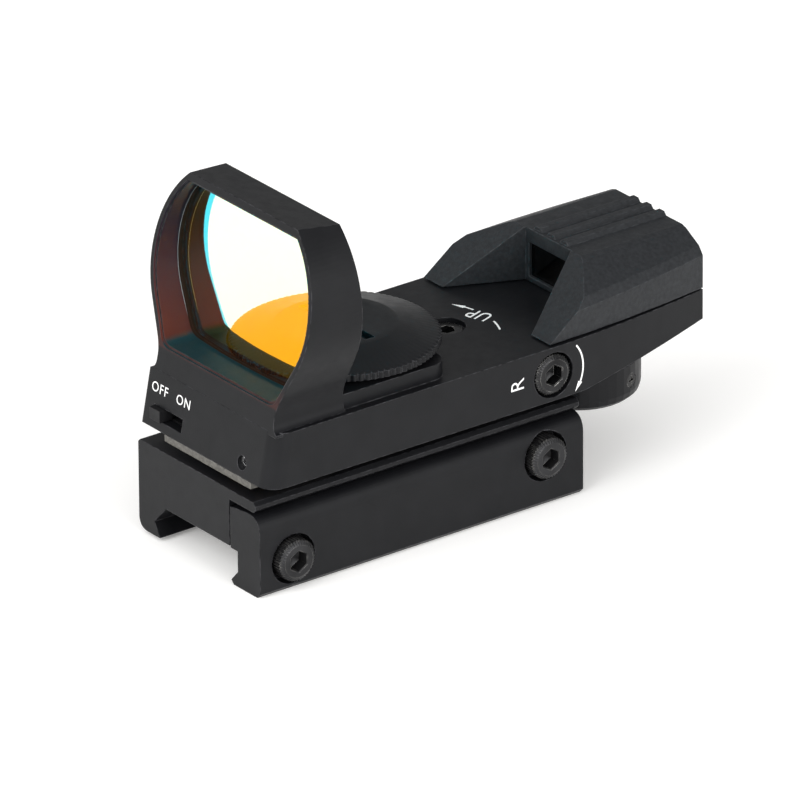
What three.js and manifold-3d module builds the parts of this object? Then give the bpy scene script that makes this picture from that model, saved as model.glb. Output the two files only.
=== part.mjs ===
// Rail-mounted red dot finder: an open reflex sight with a leaning lens hood, a coin-slotted
// battery cap, a rear emitter cover, a four-position reticle dial and a rail clamp.
// Millimetres. x: right (clamp side), y: towards the emitter end, z: up.
// Origin: on the rail seat, on the optical centre plane, half way along the rail base.
import * as THREE from 'three';
import { mergeVertices } from 'three/addons/utils/BufferGeometryUtils.js';
import Module from 'manifold-3d';

const wasm = await Module();
wasm.setup();

// ---- driving dimensions ----
const FACETS = 40;             // sides of a large round
const SMALL_FACETS = 20;       // sides of a small round
const FIT = 0.05;              // radial running clearance
const LENS_GAP = 0.3;          // all round the glass

const base = {
  half: 31.4, left: -16.1, right: 7.5, top: 9.6, lipRight: 14.3, lipBottom: 7.9,
  jawBottom: -5.6, seatLeft: -9.1,
};
const clamp = { outer: 15.4, wall: 9.6, upper: 7.8, top: 7.3, bottom: -6.3 };
const m4 = { shank: 2.0, head: 3.45, headHeight: 4.0, hex: 1.73, bore: 4.15, boreDepth: 2.6 };
const clampScrews = { front: { y: -25.0, z: -1.1, tip: -15.6 }, rear: { y: 24.0, z: 2.2, tip: -10.0 } };
const pivot = { y: -20.9, z: 13.9, earX: 9.2, earHalf: 0.8, earR: 1.8, pin: 1.0 };
const body = {
  bottom: 12.0, deck: 21.1, half: 16.7, frontY: -30.4, rearY: 56.4, rearHalf: 13.7,
  switchCorner: 0.5, clampCorner: 3.0, shoulder: 0.8,
};
const LEAN = 0.193;            // how far the front face leans back per unit of height
const HOOD_SETBACK = 0.03;     // keeps the hood's face out of the lower body's plane
const underside = { startY: 31.0, slope: 0.161 };
const hood = {
  rearY: -15.0, frontTopY: -22.5, top: 53.05, topSlope: 0.107, waist: 15.08, footZ: 26.7,
  widestZ: 38.9, wide: 20.3, upperR: 18.5, lowerR: 16.0,
};
const tunnel = { side: 1.15, top: 51.4, floor: 25.3, corner: 2.5 };
const lens = { frontY: -22.6, lean: 0.09, thickness: 1.2, gap: 0.04, radius: 135.0, seatBehind: 1.7 };
const cell = { y: -4.5, r: 10.0, bottom: 18.85, height: 3.2 };
const cap = { r: 16.0, under: 24.5, rim: 25.9, crown: 27.8, crownR: 9.1, spigot: 12.9, spigotBottom: 22.5 };
const boss = { endY: 5.7, corner: 3.0, r: 14.6, top: 23.7 };
const elevation = { y: 16.4, recess: 3.1, head: 2.5, shank: 1.6 };
const windage = { y: 24.6, z: 16.4, postHalf: 2.0, gap: 0.75 };
const cover = { bottom: 21.4, footY: 23.9, ramp: 0.75, top: 30.45, half: 16.2 };
const coverScrew = { x: 11.6, y: 50.8 };
const funnel = { mouth: 11.6, throat: 5.8, backY: 36.5 };
const ribs = { pitch: 3.3, height: 0.6, base: 1.3, crest: 0.6 };
const windowPane = { half: 5.4, bottom: 21.8, top: 28.5 };
const dial = { y: 42.2, r: 10.0, bottom: 3.1, top: 9.7, screwAngle: 0.358, screwZ: 6.9 };
const drum = { r: 4.2, wall: 0.6, stem: 2.5, bottom: 17.8, top: 27.4, beamZ: 25.0 };
const slider = { left: -13.95, width: 2.6, z: 14.6, slotEnd: -6.6 };
const lockScrew = { x: 9.0, z: 14.2, r: 1.1 };

// ---- materials ----
function material(color, roughness, metalness) {
  return new THREE.MeshStandardMaterial({ color, roughness, metalness });
}
const anodised = material(0x1c1d1f, 0.45, 0.6);
const moulded = material(0x24272c, 0.6, 0.0);
const blackSteel = material(0x26282a, 0.35, 0.8);
const brightSteel = material(0xb8babd, 0.3, 1.0);
const brownPlate = material(0x4a4641, 0.7, 0.5);
const brass = material(0xb08d4a, 0.35, 0.9);
const glass = material(0xe8b45a, 0.05, 0.0);
const clear = material(0x30363c, 0.1, 0.0);
const plastic = material(0x17181a, 0.5, 0.0);
const board = material(0x14502c, 0.5, 0.0);
const rubber = material(0x111111, 0.9, 0.0);
const redCable = material(0xa02018, 0.5, 0.0);
const blackCable = material(0x151515, 0.5, 0.0);
const led = material(0xc03028, 0.2, 0.0);

// ---- solids: three.js geometry in, manifold for joins and cuts, three.js geometry out ----
function solid(geometry) {
  const bare = geometry.clone();
  bare.deleteAttribute('normal');
  bare.deleteAttribute('uv');
  const welded = mergeVertices(bare, 1e-4);
  const mesh = new wasm.Mesh({
    numProp: 3,
    vertProperties: new Float32Array(welded.attributes.position.array),
    triVerts: new Uint32Array(welded.index.array),
  });
  return new wasm.Manifold(mesh);
}

function geometryOf(manifold) {
  const mesh = manifold.getMesh();
  const geometry = new THREE.BufferGeometry();
  geometry.setAttribute('position', new THREE.BufferAttribute(new Float32Array(mesh.vertProperties), 3));
  geometry.setIndex(new THREE.BufferAttribute(new Uint32Array(mesh.triVerts), 1));
  geometry.computeVertexNormals();
  return geometry;
}

const join = (first, ...others) => others.reduce((sum, other) => sum.add(other), first);
const cut = (first, ...others) => others.reduce((rest, other) => rest.subtract(other), first);

function extrude(shape, depth) {
  return new THREE.ExtrudeGeometry(shape, { depth, bevelEnabled: false, curveSegments: 10 });
}

function alongZ(shape, z0, z1) {
  return solid(extrude(shape, z1 - z0).translate(0, 0, z0));
}

// A shape drawn in (x, z), extruded along y.
function alongY(shape, y0, y1) {
  return solid(extrude(shape, y1 - y0).rotateX(Math.PI / 2).translate(0, y1, 0));
}

// A shape drawn in (y, z), extruded along x.
function alongX(shape, x0, x1) {
  const axes = new THREE.Matrix4().makeBasis(
    new THREE.Vector3(0, 1, 0), new THREE.Vector3(0, 0, 1), new THREE.Vector3(1, 0, 0));
  return solid(extrude(shape, x1 - x0).applyMatrix4(axes).translate(x0, 0, 0));
}

function box(x0, x1, y0, y1, z0, z1) {
  const block = new THREE.BoxGeometry(x1 - x0, y1 - y0, z1 - z0);
  return solid(block.translate((x0 + x1) / 2, (y0 + y1) / 2, (z0 + z1) / 2));
}

// A cylinder about one axis ('x', 'y' or 'z'), from a to b along it, centred at (p, q) on the other two.
function rod(axis, radius, a, b, p, q, facets = SMALL_FACETS) {
  const bar = new THREE.CylinderGeometry(radius, radius, b - a, facets);
  if (axis === 'x') bar.rotateZ(-Math.PI / 2).translate((a + b) / 2, p, q);
  if (axis === 'y') bar.translate(p, (a + b) / 2, q);
  if (axis === 'z') bar.rotateX(Math.PI / 2).translate(p, q, (a + b) / 2);
  return solid(bar);
}

// A turned piece about the z axis through (x, y), from a profile of [radius, z] points.
function turned(profile, x, y, facets = FACETS) {
  const points = profile.map(([r, z]) => new THREE.Vector2(r, z));
  return solid(new THREE.LatheGeometry(points, facets).rotateX(Math.PI / 2).translate(x, y, 0));
}

function polygon(points) {
  return new THREE.Shape(points.map(([a, b]) => new THREE.Vector2(a, b)));
}

// A coil spring standing on the origin along z.
function coil(radius, wire, height, turns) {
  class Helix extends THREE.Curve {
    getPoint(t, target = new THREE.Vector3()) {
      const angle = 2 * Math.PI * turns * t;
      return target.set(radius * Math.cos(angle), radius * Math.sin(angle), wire + (height - 2 * wire) * t);
    }
  }
  const section = new THREE.Shape().absarc(0, 0, wire, 0, 2 * Math.PI);
  const options = { steps: 12 * turns, curveSegments: 3, extrudePath: new Helix(), bevelEnabled: false };
  return new THREE.ExtrudeGeometry(section, options);
}

function cable(points, radius) {
  const path = new THREE.CatmullRomCurve3(points.map(([x, y, z]) => new THREE.Vector3(x, y, z)));
  const section = new THREE.Shape().absarc(0, 0, radius, 0, 2 * Math.PI);
  const options = { steps: 14, curveSegments: 4, extrudePath: path, bevelEnabled: false };
  return solid(new THREE.ExtrudeGeometry(section, options));
}

// ---- outlines ----
const frontFaceY = (z) => body.frontY + LEAN * (z - body.bottom);

// The hood's outside, drawn in (x, z): a flat top, barrel sides and a waist that runs down to the deck.
function hoodOutline(inset, top, bottom) {
  const upper = hood.upperR - inset;
  const lower = hood.lowerR - inset;
  const turn = THREE.MathUtils.degToRad(27);
  const upperX = hood.wide - hood.upperR;
  const lowerX = hood.wide - hood.lowerR;
  const start = Math.asin((top - hood.widestZ) / upper);
  const arcEndZ = hood.widestZ - lower * Math.sin(turn);
  const footX = lowerX + lower * Math.cos(turn) - (arcEndZ - hood.footZ) * Math.tan(turn);
  const right = (shape) => {
    shape.absarc(upperX, hood.widestZ, upper, start, 0, true);
    shape.absarc(lowerX, hood.widestZ, lower, 0, -turn, true);
    shape.lineTo(footX, hood.footZ);
  };
  const shape = new THREE.Shape();
  right(shape);
  if (inset === 0) {
    const skirt = body.half - 0.5;
    shape.quadraticCurveTo(hood.waist, 24.85, hood.waist, 23.4);
    shape.lineTo(hood.waist, 22.8);
    shape.quadraticCurveTo(hood.waist, 21.3, skirt, 20.9);
    shape.lineTo(skirt, bottom);
    shape.lineTo(-skirt, bottom);
    shape.lineTo(-skirt, 20.9);
    shape.quadraticCurveTo(-hood.waist, 21.3, -hood.waist, 22.8);
    shape.lineTo(-hood.waist, 23.4);
    shape.quadraticCurveTo(-hood.waist, 24.85, -footX, hood.footZ);
  } else {
    const floorX = footX - tunnel.corner;
    shape.quadraticCurveTo(footX - 0.6, bottom, floorX, bottom);
    shape.lineTo(-floorX, bottom);
    shape.quadraticCurveTo(-footX + 0.6, bottom, -footX, hood.footZ);
  }
  shape.absarc(-lowerX, hood.widestZ, lower, Math.PI + turn, Math.PI, true);
  shape.absarc(-upperX, hood.widestZ, upper, Math.PI, Math.PI - start, true);
  shape.closePath();
  return shape;
}

// Everything in front of a plane that leans with the front face, set back from it by the given amount.
function aheadOfFrontFace(setBack) {
  const lower = frontFaceY(5) + setBack;
  const upper = frontFaceY(60) + setBack;
  return alongX(polygon([[-40, 5], [lower, 5], [upper, 60], [-40, 60]]), -30, 30);
}

// The lower body in plan: straight sides that draw in towards the rear.
function bodyPlan(frontY) {
  const straightTo = 27;
  const shape = new THREE.Shape();
  shape.moveTo(-body.half, straightTo);
  shape.lineTo(-body.half, frontY);
  shape.lineTo(body.half, frontY);
  shape.lineTo(body.half, straightTo);
  shape.quadraticCurveTo(body.half - 0.4, 41, body.rearHalf, body.rearY);
  shape.lineTo(-body.rearHalf, body.rearY);
  shape.quadraticCurveTo(-body.half + 0.4, 41, -body.half, straightTo);
  return shape;
}

// The front of the lower body in plan: nearly square on the switch side, rounded on the clamp side.
function frontPlan() {
  const { half, frontY, switchCorner, clampCorner } = body;
  const shape = new THREE.Shape();
  shape.moveTo(-half, -14);
  shape.lineTo(-half, frontY + switchCorner);
  shape.absarc(-half + switchCorner, frontY + switchCorner, switchCorner, Math.PI, 1.5 * Math.PI, false);
  shape.absarc(half - clampCorner, frontY + clampCorner, clampCorner, 1.5 * Math.PI, 2 * Math.PI, false);
  shape.lineTo(half, -14);
  return shape;
}

// ---- rail base and clamp ----
function railBase() {
  const round = 2.2;
  const profile = new THREE.Shape();
  profile.moveTo(base.left, base.top - 0.5);
  profile.lineTo(base.left, base.jawBottom + round);
  profile.quadraticCurveTo(base.left, base.jawBottom, base.left + round, base.jawBottom);
  profile.lineTo(-10.7, base.jawBottom);
  profile.lineTo(-12.1, -3.2);
  profile.lineTo(-9.8, -0.8);
  profile.lineTo(base.seatLeft, 0);
  profile.lineTo(base.right, 0);
  profile.lineTo(base.right, base.lipBottom);
  profile.lineTo(base.lipRight - 0.5, base.lipBottom);
  profile.lineTo(base.lipRight, base.lipBottom + 0.5);
  profile.lineTo(base.lipRight, base.top - 0.6);
  profile.lineTo(base.lipRight - 0.6, base.top);
  profile.lineTo(base.left + 0.5, base.top);
  const { front, rear } = clampScrews;
  const relief = m4.shank + 0.3;
  return cut(
    alongY(profile, -base.half, base.half),
    rod('x', m4.shank + FIT, base.left - 1, base.right + 1, front.y, front.z),
    // the front screw crosses the rail's slot: the roof is milled away over its full width
    box(base.seatLeft, base.right + 1, front.y - relief, front.y + relief, -1, front.z + relief),
    rod('x', m4.shank + FIT, rear.tip - 0.5, base.right + 1, rear.y, rear.z),
    rod('z', 1.4, 2.2, base.top + 1, 0, pivot.y),
    box(-3.6, 3.6, elevation.y - 2.3, elevation.y + 2.3, 5.8, base.top + 1),
    rod('z', 2.0 + FIT, 5.5, base.top + 1, 0, windage.y),
  );
}

function clampPlate() {
  const round = 3.0;
  const profile = new THREE.Shape();
  profile.moveTo(clamp.upper, clamp.top - 0.6);
  profile.lineTo(clamp.upper, -0.23);
  profile.lineTo(clamp.wall, -0.23);
  profile.lineTo(clamp.wall, -3.75);
  profile.lineTo(clamp.upper + 0.1, -5.6);
  profile.lineTo(clamp.upper + 0.7, clamp.bottom);
  profile.lineTo(clamp.outer - 0.8, clamp.bottom);
  profile.lineTo(clamp.outer, clamp.bottom + 0.8);
  profile.lineTo(clamp.outer, clamp.top - round);
  profile.quadraticCurveTo(clamp.outer, clamp.top, clamp.outer - round, clamp.top);
  profile.lineTo(clamp.upper + 0.7, clamp.top - 0.4);
  const holes = Object.values(clampScrews).flatMap(({ y, z }) => [
    rod('x', m4.bore, clamp.outer - m4.boreDepth, clamp.outer + 1, y, z, 24),
    rod('x', m4.shank + 0.2, clamp.upper - 1, clamp.outer, y, z),
  ]);
  return cut(alongY(profile, -base.half, base.half), ...holes);
}

// A socket head screw along x: the head's outer face at faceX, the tip at tipX.
function socketScrew(faceX, headHeight, tipX, y, z) {
  const neck = faceX - headHeight;
  return cut(
    join(
      rod('x', m4.head, neck, faceX, y, z, 24),
      rod('x', m4.shank, tipX, neck + 0.2, y, z),
    ),
    rod('x', m4.hex, faceX - 2.2, faceX + 1, y, z, 6),
  );
}

function clampScrew({ y, z, tip }) {
  return socketScrew(clamp.outer - m4.boreDepth + FIT + m4.headHeight, m4.headHeight, tip, y, z);
}

// ---- pivot between the base and the sight ----
function pivotPlate() {
  const earShape = new THREE.Shape();
  earShape.moveTo(pivot.y - pivot.earR, 11.2);
  earShape.lineTo(pivot.y + pivot.earR, 11.2);
  earShape.absarc(pivot.y, pivot.z, pivot.earR, 0, Math.PI, false);
  const ears = [-1, 1].map((side) => {
    const middle = side * pivot.earX;
    return cut(
      alongX(earShape, middle - pivot.earHalf, middle + pivot.earHalf),
      rod('x', pivot.pin + FIT, middle - 2, middle + 2, pivot.y, pivot.z),
    );
  });
  return cut(
    join(
      box(-10.9, 11.4, -30.1, -15.0, 10.6, 11.7),
      box(-7.4, 7.4, -15.3, 19.9, 10.0, 10.95),
      ...ears,
    ),
    rod('z', 1.65, 9, 12, 0, pivot.y),
    rod('z', elevation.shank + 0.15, 9, 12, 0, elevation.y),
  );
}

function pivotScrew() {
  return cut(
    join(
      rod('z', 3.2, 11.75, 13.2, 0, pivot.y, 24),
      rod('z', 1.6, 9.62, 11.85, 0, pivot.y),
      rod('z', 1.35, 2.6, 9.7, 0, pivot.y),
    ),
    rod('z', 1.3, 12.2, 14, 0, pivot.y, 6),
  );
}

function pivotWasher() {
  return cut(rod('z', 5.3, base.top + 0.03, 10.57, 0, pivot.y, 28), rod('z', 1.75, 8, 11, 0, pivot.y));
}

function pivotPin(side) {
  const ends = [side * 6.6, side * 12.6].sort((a, b) => a - b);
  return rod('x', pivot.pin, ends[0], ends[1], pivot.y, pivot.z);
}

// The post on the base that the windage screw and the spring plunger bear on from either side.
function windagePost() {
  const half = windage.postHalf;
  return join(
    box(-half, half, windage.y - 2.2, windage.y + 2.2, base.top + 0.03, 18.4),
    rod('z', half, 5.8, base.top + 0.2, 0, windage.y),
  );
}

function windagePlunger() {
  return rod('x', 1.6, -12.0, -windage.postHalf - windage.gap, windage.y, windage.z);
}

function windageSpring() {
  return solid(coil(1.15, 0.25, 3.0, 4).rotateY(Math.PI / 2).translate(-15.1, windage.y, windage.z));
}

function windageScrew() {
  return socketScrew(16.9, 2.8, windage.postHalf + windage.gap, windage.y, windage.z);
}

// ---- the sight's housing ----
function housingShell() {
  const shear = new THREE.Matrix4().set(
    1, 0, 0, 0,
    0, 1, LEAN, -LEAN * body.bottom,
    0, 0, 1, 0,
    0, 0, 0, 1);
  const frontBlock = extrude(frontPlan(), body.deck - body.bottom)
    .translate(0, 0, body.bottom)
    .applyMatrix4(shear);
  const topAt = (y) => hood.top - hood.topSlope * (y - hood.frontTopY);
  const slopingTop = polygon([[-35, topAt(-35)], [0, topAt(0)], [0, 70], [-35, 70]]);
  const hoodBlock = cut(
    alongY(hoodOutline(0, hood.top + 0.8, body.deck - 0.6), -34, hood.rearY),
    alongX(slopingTop, -30, 30),
    aheadOfFrontFace(HOOD_SETBACK),
  );
  const belowTail = polygon([
    [underside.startY, body.bottom],
    [60, body.bottom + underside.slope * (60 - underside.startY)],
    [60, 0],
    [underside.startY, 0],
  ]);
  const rearBlock = cut(alongZ(bodyPlan(-16), body.bottom, body.deck), alongX(belowTail, -30, 30));
  const { half, deck, shoulder } = body;
  const besideShoulder = polygon([
    [-half + shoulder, deck + 1], [-half + shoulder, deck], [-half + 0.3 * shoulder, deck - 0.3 * shoulder],
    [-half, deck - shoulder], [-half - 1, deck - shoulder], [-half - 1, deck + 1],
  ]);
  const outside = join(
    cut(solid(frontBlock), alongY(besideShoulder, -34, -10)),
    rearBlock,
    hoodBlock,
    alongZ(blockPlan(), body.deck - 0.5, boss.top),
    rod('z', boss.r, body.deck - 0.5, boss.top, 0, cell.y, 56),
    rod('z', 8.5, 10.0, body.deck - 2, 0, dial.y, FACETS),
  );
  const opened = join(
    cut(outside, alongY(hoodOutline(tunnel.side, tunnel.top, tunnel.floor), -40, -5), rimStep()),
    lensSeat(),
  );
  return cut(opened, rod('z', cap.r + 0.35, boss.top, 29.4, 0, cell.y, 56));
}

// The shallow step just inside the rim, following the leaning face.
function rimStep() {
  const width = 0.35;
  const depth = 0.4;
  const outline = hoodOutline(tunnel.side - width, tunnel.top + width, tunnel.floor - width);
  return alongY(outline, -40, hood.rearY).intersect(aheadOfFrontFace(depth));
}

// The battery block in plan: square to the hood, with two round rear corners.
function blockPlan() {
  const { endY, corner } = boss;
  const half = hood.waist;
  const shape = new THREE.Shape();
  shape.moveTo(-half, -16);
  shape.lineTo(half, -16);
  shape.absarc(half - corner, endY - corner, corner, 0, Math.PI / 2, false);
  shape.absarc(-half + corner, endY - corner, corner, Math.PI / 2, Math.PI, false);
  return shape;
}

// The shoulder behind the glass: a band that leans with the glass and ends just short of the rear face.
function lensSeat() {
  const behindGlass = lens.frontY + 2 * lens.thickness + lens.gap + lens.seatBehind;
  const faceAt = (z) => behindGlass + lens.lean * (z - hood.widestZ);
  const endY = hood.rearY - 0.3;
  const lean = alongX(polygon([[faceAt(22), 22], [endY, 22], [endY, 53], [faceAt(53), 53]]), -30, 30);
  const band = cut(
    alongY(hoodOutline(tunnel.side - 0.1, tunnel.top + 0.1, tunnel.floor), -22, -14),
    alongY(hoodOutline(tunnel.side + 0.7, tunnel.top - 0.7, tunnel.floor), -24, -12),
  );
  return band.intersect(lean);
}

function housing() {
  const screwHoles = [-1, 1].flatMap((side) => [
    rod('z', 1.0, 13, 22, side * coverScrew.x, coverScrew.y),
    rod('z', 2.15, 10, 17.0, side * coverScrew.x, coverScrew.y),
  ]);
  const earSlots = [-1, 1].flatMap((side) => [
    box(side * pivot.earX - 1.3, side * pivot.earX + 1.3, pivot.y - 3, pivot.y + 3, 10, 16.4),
    rod('x', pivot.pin + 0.02, side * 9.6 - 3.2, side * 9.6 + 3.2, pivot.y, pivot.z),
  ]);
  return cut(
    housingShell(),
    // battery well and the cap's mouth
    rod('z', 12.0, 18.1, boss.top + 1, 0, cell.y, FACETS),
    rod('z', cap.spigot + 0.1, 22.3, boss.top + 1, 0, cell.y, FACETS),
    // elevation screw: recess, head seat, shank hole, spring pocket
    rod('z', elevation.recess, 20.1, 22, 0, elevation.y, 28),
    rod('z', elevation.head + 0.1, 18.2, 22, 0, elevation.y, 28),
    rod('z', elevation.shank + FIT, 10, 22, 0, elevation.y),
    rod('z', 3.1, 10, 15.2, 0, elevation.y),
    // windage screw, its plunger opposite, and the space around the post
    rod('x', 3.8, 13.75, 18, windage.y, windage.z, 28),
    rod('x', m4.shank + 0.1, 7, 18, windage.y, windage.z),
    rod('x', 1.65, -15.2, -7, windage.y, windage.z),
    box(-7.5, 7.5, 20.2, 29.3, 10, 20.1),
    // pivot ears, their pins and the pivot screw's head
    ...earSlots,
    rod('z', 4.3, 10, 14.2, 0, pivot.y, 24),
    rod('y', lockScrew.r + FIT, -34, -22, lockScrew.x, lockScrew.z),
    // switch pocket and slot
    box(slider.left - 0.7, slider.slotEnd + 0.5, -28.3, -24.4, 10, 16.2),
    box(slider.left - 0.1, slider.slotEnd, -34, -27, slider.z - 1.1, slider.z + 1.1),
    // cable ducts
    rod('y', 0.95, 0, 39, -9.6, 19.3),
    rod('y', 0.95, -25, -10.7, -11.2, 15.9),
    rod('z', 0.95, 15, 18.7, -8.8, -11.3),
    box(-12.0, -7.9, -12.2, -10.5, 15.1, 16.8),
    // rear compartment, dial spindle, detent and cover screws
    box(-10.2, 10.2, 37.7, 53.8, 17.5, 22),
    rod('z', drum.stem + FIT, 9, 19, 0, dial.y),
    rod('z', 0.95, 9, 14.1, 6.4, dial.y),
    ...screwHoles,
  );
}

// ---- optics ----
// One of the two curved elements: their faces bulge forward and lean back about half as much as the hood's.
function lensElement(index) {
  const depth = index * (lens.thickness + lens.gap);
  const rings = 5;
  const reach = 24;
  const sag = (r) => lens.radius - Math.sqrt(lens.radius * lens.radius - r * r);
  const face = (offset) => Array.from({ length: rings + 1 }, (_, i) => {
    const r = (reach * i) / rings;
    return new THREE.Vector2(r, offset + sag(r));
  });
  const meniscus = new THREE.LatheGeometry([...face(depth), ...face(depth + lens.thickness).reverse()], 32);
  meniscus.rotateX(-Math.atan(lens.lean)).translate(0, lens.frontY, hood.widestZ);
  const inset = tunnel.side + LENS_GAP;
  return alongY(hoodOutline(inset, tunnel.top - LENS_GAP, tunnel.floor + LENS_GAP), -40, 0)
    .intersect(solid(meniscus));
}

function rearCover() {
  const section = (y) => {
    const t = (y - cover.footY) / (body.rearY - cover.footY);
    const half = cover.half - (cover.half - body.rearHalf) * t * t;
    const crease = 25.3 + 1.65 * t;
    const right = [[half, cover.bottom], [half, crease], [half - 1.0, crease + 1.35],
      [9.4, cover.top - 0.3], [8.4, cover.top]];
    const left = right.map(([x, z]) => [-x, z]).reverse();
    return [...right, ...left];
  };
  const shell = loftY([cover.footY, 32, 40, 48, body.rearY].map((y) => [y, section(y)]));
  const rampAt = (y) => body.deck + cover.ramp * (y - cover.footY);
  const aboveRamp = alongX(polygon([[15, rampAt(15)], [60, rampAt(60)], [60, 70], [15, 70]]), -30, 30);
  const crest = (x) => alongY(polygon([
    [x - ribs.base, cover.top - 0.2], [x + ribs.base, cover.top - 0.2],
    [x + ribs.crest, cover.top + ribs.height], [x - ribs.crest, cover.top + ribs.height],
  ]), funnel.backY + 0.5, body.rearY);
  const mouth = polygon([
    [-funnel.mouth - 0.5, cover.footY - 1.1], [funnel.mouth + 0.5, cover.footY - 1.1],
    [funnel.throat, funnel.backY], [-funnel.throat, funnel.backY],
  ]);
  const { half, bottom, top } = windowPane;
  return cut(
    join(cut(shell, aboveRamp), crest(-ribs.pitch), crest(0), crest(ribs.pitch)),
    alongZ(mouth, 10, 40),
    box(-9.2, 9.2, 37.8, 53.8, 20, 29.0),
    box(-half + 0.4, half - 0.4, 36, 38, bottom + 0.4, top - 0.4),
    box(-half - 0.2, half + 0.2, 37.1, 38, bottom - 0.2, top + 0.2),
    rod('z', 0.9, 20, 25, -coverScrew.x, coverScrew.y),
    rod('z', 0.9, 20, 25, coverScrew.x, coverScrew.y),
  );
}

// A solid through equal polygons drawn in (x, z) at each y.
function loftY(stations) {
  const count = stations[0][1].length;
  const positions = stations.flatMap(([y, points]) => points.flatMap(([x, z]) => [x, y, z]));
  const faces = [];
  for (let s = 0; s < stations.length - 1; s += 1) {
    for (let i = 0; i < count; i += 1) {
      const a = s * count + i;
      const b = s * count + ((i + 1) % count);
      faces.push(a, a + count, b, b, a + count, b + count);
    }
  }
  const last = (stations.length - 1) * count;
  for (let i = 1; i < count - 1; i += 1) {
    faces.push(0, i, i + 1);
    faces.push(last, last + i + 1, last + i);
  }
  const geometry = new THREE.BufferGeometry();
  geometry.setAttribute('position', new THREE.Float32BufferAttribute(positions, 3));
  geometry.setIndex(faces);
  return solid(geometry);
}

function emitterWindow() {
  return box(-windowPane.half, windowPane.half, 37.15, 37.7, windowPane.bottom, windowPane.top);
}

// ---- reticle dial ----
function reticleDial() {
  const { r, bottom, top } = dial;
  const radial = new THREE.CylinderGeometry(1.25, 1.25, 9, SMALL_FACETS);
  radial.rotateZ(Math.PI / 2).translate(7.0, 0, 0);
  radial.rotateZ(dial.screwAngle).translate(0, dial.y, dial.screwZ);
  return cut(
    turned([[0, bottom], [r - 2, bottom], [r - 1.1, bottom + 0.25], [r - 0.3, bottom + 0.95], [r, bottom + 2],
      [r, top], [0, top]], 0, dial.y),
    turned([[5.4, 9.2], [7.4, 9.2], [7.4, 10.5], [5.4, 10.5], [5.4, 9.2]], 0, dial.y),
    rod('z', drum.stem + FIT, 4.7, 11, 0, dial.y),
    solid(radial),
  );
}

function reticleDrum() {
  const { r, wall, stem, bottom, top } = drum;
  const beams = [0, 1].map((quarter) => {
    const hole = new THREE.CylinderGeometry(0.9, 0.9, 12, 12);
    return solid(hole.rotateZ((quarter * Math.PI) / 2).translate(0, dial.y, drum.beamZ));
  });
  return cut(
    turned([[0, 4.9], [stem, 4.9], [stem, bottom], [r, bottom], [r, top],
      [r - wall, top], [r - wall, bottom + 1.2], [0, bottom + 1.2]], 0, dial.y, 32),
    ...beams,
  );
}

function reticleFilm() {
  const outer = drum.r - drum.wall - 0.04;
  return cut(
    rod('z', outer, drum.beamZ - 1.6, drum.beamZ + 1.6, 0, dial.y, 28),
    rod('z', outer - 0.2, 10, 40, 0, dial.y, 28),
  );
}

function dialScrew() {
  const shaft = new THREE.CylinderGeometry(1.2, 1.2, 7.0, SMALL_FACETS);
  shaft.rotateZ(Math.PI / 2).translate(6.4, 0, 0);
  const slot = (dy, dz) => box(9.4, 11, -dy, dy, -dz, dz);
  const screw = cut(solid(shaft), slot(0.16, 0.75), slot(0.75, 0.16));
  const place = new THREE.Matrix4()
    .makeTranslation(0, dial.y, dial.screwZ)
    .multiply(new THREE.Matrix4().makeRotationZ(dial.screwAngle));
  return solid(geometryOf(screw).applyMatrix4(place));
}

// ---- battery and its cap ----
function batteryCap() {
  const { r, under, rim, crown, crownR, spigot, spigotBottom } = cap;
  return cut(
    turned([[0, spigotBottom], [spigot, spigotBottom], [spigot, under], [r - 0.25, under],
      [r, under + 0.25], [r, rim - 0.2], [r - 0.3, rim], [crownR, crown], [0, crown]], 0, cell.y, 72),
    box(-8.2, 8.2, cell.y - 0.9, cell.y + 0.9, crown - 1.2, crown + 1),
  );
}

function capSeal() {
  const ring = new THREE.TorusGeometry(13.9, 0.31, 8, 48);
  return solid(ring.translate(0, cell.y, (boss.top + cap.under) / 2));
}

function coinCell() {
  const { r, bottom, height } = cell;
  return turned([[0, bottom], [8.8, bottom], [9.0, bottom + 0.3], [r, bottom + 0.3],
    [r, bottom + height], [0, bottom + height]], 0, cell.y);
}

function batteryLiner() {
  return cut(
    rod('z', 11.9, 18.15, 22.0, 0, cell.y, FACETS),
    rod('z', 10.9, 18.45, 23, 0, cell.y, FACETS),
    rod('z', 1.2, 17, 20, -8.8, -11.3),
    box(8.0, 12.3, cell.y - 2.5, cell.y + 2.5, 18.45, 23),
    box(-12.3, -8.8, cell.y + 3.6, cell.y + 8.8, 18.45, 23),
  );
}

function contactSpring() {
  const arch = new THREE.Shape();
  arch.moveTo(-5, 18.5);
  arch.quadraticCurveTo(0, 18.75, 5, 18.5);
  arch.lineTo(5, 18.62);
  arch.quadraticCurveTo(0, 18.87, -5, 18.62);
  return alongY(arch, cell.y - 1.5, cell.y + 1.5);
}

function contactClip() {
  return box(10.15, 10.75, cell.y - 2, cell.y + 2, 18.6, 21.7);
}

// ---- screws, springs, switch and wiring ----
function elevationScrew() {
  return cut(
    join(
      rod('z', elevation.head, 18.6, 20.5, 0, elevation.y, 28),
      rod('z', elevation.shank, 7.7, 18.7, 0, elevation.y),
    ),
    rod('z', 1.45, 19.1, 22, 0, elevation.y, 6),
  );
}

function lockingScrew() {
  const { x, z, r } = lockScrew;
  return cut(rod('y', r, -29.3, -22.9, x, z), rod('y', 0.6, -30, -28.2, x, z, 6));
}

function springWasher(axis, outer, inner, a, b, p, q) {
  return cut(rod(axis, outer, a, b, p, q, 24), rod(axis, inner, a - 1, b + 1, p, q, 24));
}

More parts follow.
